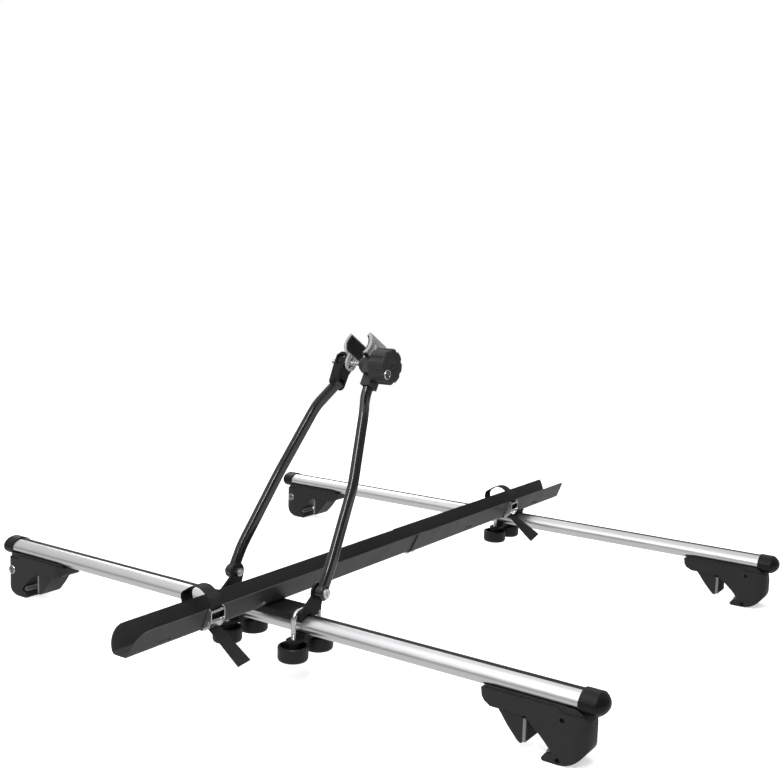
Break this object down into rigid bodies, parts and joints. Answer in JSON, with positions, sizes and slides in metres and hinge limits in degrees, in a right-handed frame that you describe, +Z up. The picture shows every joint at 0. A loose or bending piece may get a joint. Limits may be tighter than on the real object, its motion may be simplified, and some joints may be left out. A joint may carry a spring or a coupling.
{
  "type": "roof mounted bike carrier",
  "caption": "Roof bike carrier: steel wheel tray on two aluminium roof bars with locking rail feet, a folding arm with a screw clamp for the frame, wheel straps and U-bolt clamps.",
  "frame": {"origin": "on the ground under the middle of the overall box, at the lowest faces of the four feet", "axes": "+X along the tray to its rear end, +Y along the roof bars to the side away from the clamp knob, +Z up"},
  "size_m": [1.39, 1.292, 0.5543],
  "materials": {
    "tray_steel": "satin",
    "bracket_steel": "satin",
    "arm_steel": "gloss",
    "zinc_steel": "satin",
    "bar_aluminium": "satin",
    "black_rubber": "matte",
    "cap_plastic": "satin",
    "webbing": "matte",
    "claw_plastic": "satin",
    "jaw_rubber": "matte",
    "knob_plastic": "satin",
    "cup_plastic": "satin",
    "lock_metal": "polished",
    "foot_plastic": "matte",
    "rail_rubber": "matte"
  },
  "bodies": {
    "base": {"front_tray": "tray_steel", "rear_tray": "tray_steel", "tray_bolts": "zinc_steel", "base_bracket": "bracket_steel", "bracket_pad": "black_rubber", "rear_plate": "bracket_steel", "rear_saddle": "black_rubber", "u_bolts": "zinc_steel", "pivot_bolts": "zinc_steel", "front_strap": "webbing", "rear_strap": "webbing", "buckle_frames": "zinc_steel", "buckle_pins": "zinc_steel", "front_bar": "bar_aluminium", "rear_bar": "bar_aluminium", "bar_strips": "black_rubber", "bar_end_caps": "cap_plastic"},
    "arm": {"near_leg": "arm_steel", "far_leg": "arm_steel", "clamp_housing": "claw_plastic", "near_jaw_pad": "jaw_rubber", "claw_pin": "zinc_steel"},
    "claw": {"far_claw": "claw_plastic", "claw_link": "bracket_steel", "far_jaw_pad": "jaw_rubber"},
    "nut": {"barrel_nut": "zinc_steel"},
    "screw": {"clamp_knob": "knob_plastic", "clamp_screw": "zinc_steel"},
    "frame_lock": {"clamp_lock": "lock_metal"},
    "front_buckle_lever": {"lever_front": "zinc_steel"},
    "rear_buckle_lever": {"lever_rear": "zinc_steel"},
    "clamp_plate_near": {"plate_near": "bracket_steel"},
    "cup_near_a": {"knob_near_a": "cup_plastic"},
    "cup_near_b": {"knob_near_b": "cup_plastic"},
    "clamp_plate_far": {"plate_far": "bracket_steel"},
    "cup_far_a": {"knob_far_a": "cup_plastic"},
    "cup_far_b": {"knob_far_b": "cup_plastic"},
    "clamp_plate_rear": {"plate_rear": "bracket_steel"},
    "cup_rear_a": {"knob_rear_a": "cup_plastic"},
    "cup_rear_b": {"knob_rear_b": "cup_plastic"},
    "foot_front_near": {"foot_fn": "foot_plastic", "hook_pad_fn": "rail_rubber"},
    "jaw_front_near": {"jaw_fn": "foot_plastic", "jaw_pad_fn": "rail_rubber"},
    "lock_front_near": {"lock_fn": "lock_metal"},
    "foot_front_far": {"foot_ff": "foot_plastic", "hook_pad_ff": "rail_rubber"},
    "jaw_front_far": {"jaw_ff": "foot_plastic", "jaw_pad_ff": "rail_rubber"},
    "lock_front_far": {"lock_ff": "lock_metal"},
    "foot_rear_near": {"foot_rn": "foot_plastic", "hook_pad_rn": "rail_rubber"},
    "jaw_rear_near": {"jaw_rn": "foot_plastic", "jaw_pad_rn": "rail_rubber"},
    "lock_rear_near": {"lock_rn": "lock_metal"},
    "foot_rear_far": {"foot_rf": "foot_plastic", "hook_pad_rf": "rail_rubber"},
    "jaw_rear_far": {"jaw_rf": "foot_plastic", "jaw_pad_rf": "rail_rubber"},
    "lock_rear_far": {"lock_rf": "lock_metal"}
  },
  "joints": [
    {"name": "arm_fold", "type": "hinge", "parent": "base", "child": "arm", "pos_m": [-0.355, -0.04, 0.1425], "axis": [0, 1, 0], "range_deg": [-31, 46]},
    {"name": "clamp_turn", "type": "hinge", "parent": "arm", "child": "screw", "pos_m": [-0.1428, -0.04, 0.49565], "axis": [0, 1, 0], "range_deg": [-3740, 3740]},
    {"name": "claw_swing", "type": "hinge", "parent": "arm", "child": "claw", "pos_m": [-0.1638, -0.014, 0.45928], "axis": [0.866, 0, -0.5], "range_deg": [-17.8, 17.8]},
    {"name": "nut_travel", "type": "slide", "parent": "arm", "child": "nut", "axis": [0, 1, 0], "range_m": [-0.013, 0.013]},
    {"name": "frame_lock_turn", "type": "hinge", "parent": "screw", "child": "frame_lock", "pos_m": [-0.15898, -0.12, 0.48323], "axis": [0, -1, 0], "range_deg": [0, 90]},
    {"name": "front_buckle_open", "type": "hinge", "parent": "base", "child": "front_buckle_lever", "pos_m": [-0.532, -0.06946, 0.1286], "axis": [-1, 0, 0], "range_deg": [0, 80]},
    {"name": "rear_buckle_open", "type": "hinge", "parent": "base", "child": "rear_buckle_lever", "pos_m": [0.43, -0.07139, 0.1275], "axis": [-1, 0, 0], "range_deg": [0, 80]},
    {"name": "plate_near_drop", "type": "slide", "parent": "base", "child": "clamp_plate_near", "axis": [0, 0, -1], "range_m": [0, 0.01]},
    {"name": "knob_near_a_turn", "type": "hinge", "parent": "clamp_plate_near", "child": "cup_near_a", "pos_m": [-0.405, -0.12, 0.04], "axis": [0, 0, -1], "range_deg": [0, 2878]},
    {"name": "knob_near_b_turn", "type": "hinge", "parent": "clamp_plate_near", "child": "cup_near_b", "pos_m": [-0.339, -0.12, 0.04], "axis": [0, 0, -1], "range_deg": [0, 2878]},
    {"name": "plate_far_drop", "type": "slide", "parent": "base", "child": "clamp_plate_far", "axis": [0, 0, -1], "range_m": [0, 0.01]},
    {"name": "knob_far_a_turn", "type": "hinge", "parent": "clamp_plate_far", "child": "cup_far_a", "pos_m": [-0.405, 0.022, 0.04], "axis": [0, 0, -1], "range_deg": [0, 2878]},
    {"name": "knob_far_b_turn", "type": "hinge", "parent": "clamp_plate_far", "child": "cup_far_b", "pos_m": [-0.339, 0.022, 0.04], "axis": [0, 0, -1], "range_deg": [0, 2878]},
    {"name": "plate_rear_drop", "type": "slide", "parent": "base", "child": "clamp_plate_rear", "axis": [0, 0, -1], "range_m": [0, 0.01]},
    {"name": "knob_rear_a_turn", "type": "hinge", "parent": "clamp_plate_rear", "child": "cup_rear_a", "pos_m": [0.463, -0.012, 0.04], "axis": [0, 0, -1], "range_deg": [0, 2878]},
    {"name": "knob_rear_b_turn", "type": "hinge", "parent": "clamp_plate_rear", "child": "cup_rear_b", "pos_m": [0.529, -0.012, 0.04], "axis": [0, 0, -1], "range_deg": [0, 2878]},
    {"name": "foot_front_near_slide", "type": "slide", "parent": "base", "child": "foot_front_near", "axis": [0, 1, 0], "range_m": [-0.015, 0.06]},
    {"name": "jaw_front_near_slide", "type": "slide", "parent": "foot_front_near", "child": "jaw_front_near", "axis": [0, 1, 0], "range_m": [0, 0.02]},
    {"name": "lock_front_near_turn", "type": "hinge", "parent": "foot_front_near", "child": "lock_front_near", "pos_m": [-0.345, -0.604, 0.05], "axis": [1, 0, 0], "range_deg": [0, 90]},
    {"name": "foot_front_far_slide", "type": "slide", "parent": "base", "child": "foot_front_far", "axis": [0, -1, 0], "range_m": [-0.015, 0.06]},
    {"name": "jaw_front_far_slide", "type": "slide", "parent": "foot_front_far", "child": "jaw_front_far", "axis": [0, -1, 0], "range_m": [0, 0.02]},
    {"name": "lock_front_far_turn", "type": "hinge", "parent": "foot_front_far", "child": "lock_front_far", "pos_m": [-0.399, 0.604, 0.05], "axis": [-1, 0, 0], "range_deg": [0, 90]},
    {"name": "foot_rear_near_slide", "type": "slide", "parent": "base", "child": "foot_rear_near", "axis": [0, 1, 0], "range_m": [-0.015, 0.06]},
    {"name": "jaw_rear_near_slide", "type": "slide", "parent": "foot_rear_near", "child": "jaw_rear_near", "axis": [0, 1, 0], "range_m": [0, 0.02]},
    {"name": "lock_rear_near_turn", "type": "hinge", "parent": "foot_rear_near", "child": "lock_rear_near", "pos_m": [0.523, -0.604, 0.05], "axis": [1, 0, 0], "range_deg": [0, 90]},
    {"name": "foot_rear_far_slide", "type": "slide", "parent": "base", "child": "foot_rear_far", "axis": [0, -1, 0], "range_m": [-0.015, 0.06]},
    {"name": "jaw_rear_far_slide", "type": "slide", "parent": "foot_rear_far", "child": "jaw_rear_far", "axis": [0, -1, 0], "range_m": [0, 0.02]},
    {"name": "lock_rear_far_turn", "type": "hinge", "parent": "foot_rear_far", "child": "lock_rear_far", "pos_m": [0.469, 0.604, 0.05], "axis": [-1, 0, 0], "range_deg": [0, 90]}
  ],
  "couplings": [
    {"joint": "nut_travel", "follows": "clamp_turn", "m_per_rad": -0.00019894},
    {"joint": "claw_swing", "follows": "clamp_turn", "ratio": 0.0047368},
    {"joint": "plate_near_drop", "follows": "knob_near_a_turn", "m_per_rad": 0.00019894},
    {"joint": "knob_near_b_turn", "follows": "knob_near_a_turn", "ratio": 1},
    {"joint": "plate_far_drop", "follows": "knob_far_a_turn", "m_per_rad": 0.00019894},
    {"joint": "knob_far_b_turn", "follows": "knob_far_a_turn", "ratio": 1},
    {"joint": "plate_rear_drop", "follows": "knob_rear_a_turn", "m_per_rad": 0.00019894},
    {"joint": "knob_rear_b_turn", "follows": "knob_rear_a_turn", "ratio": 1}
  ]
}
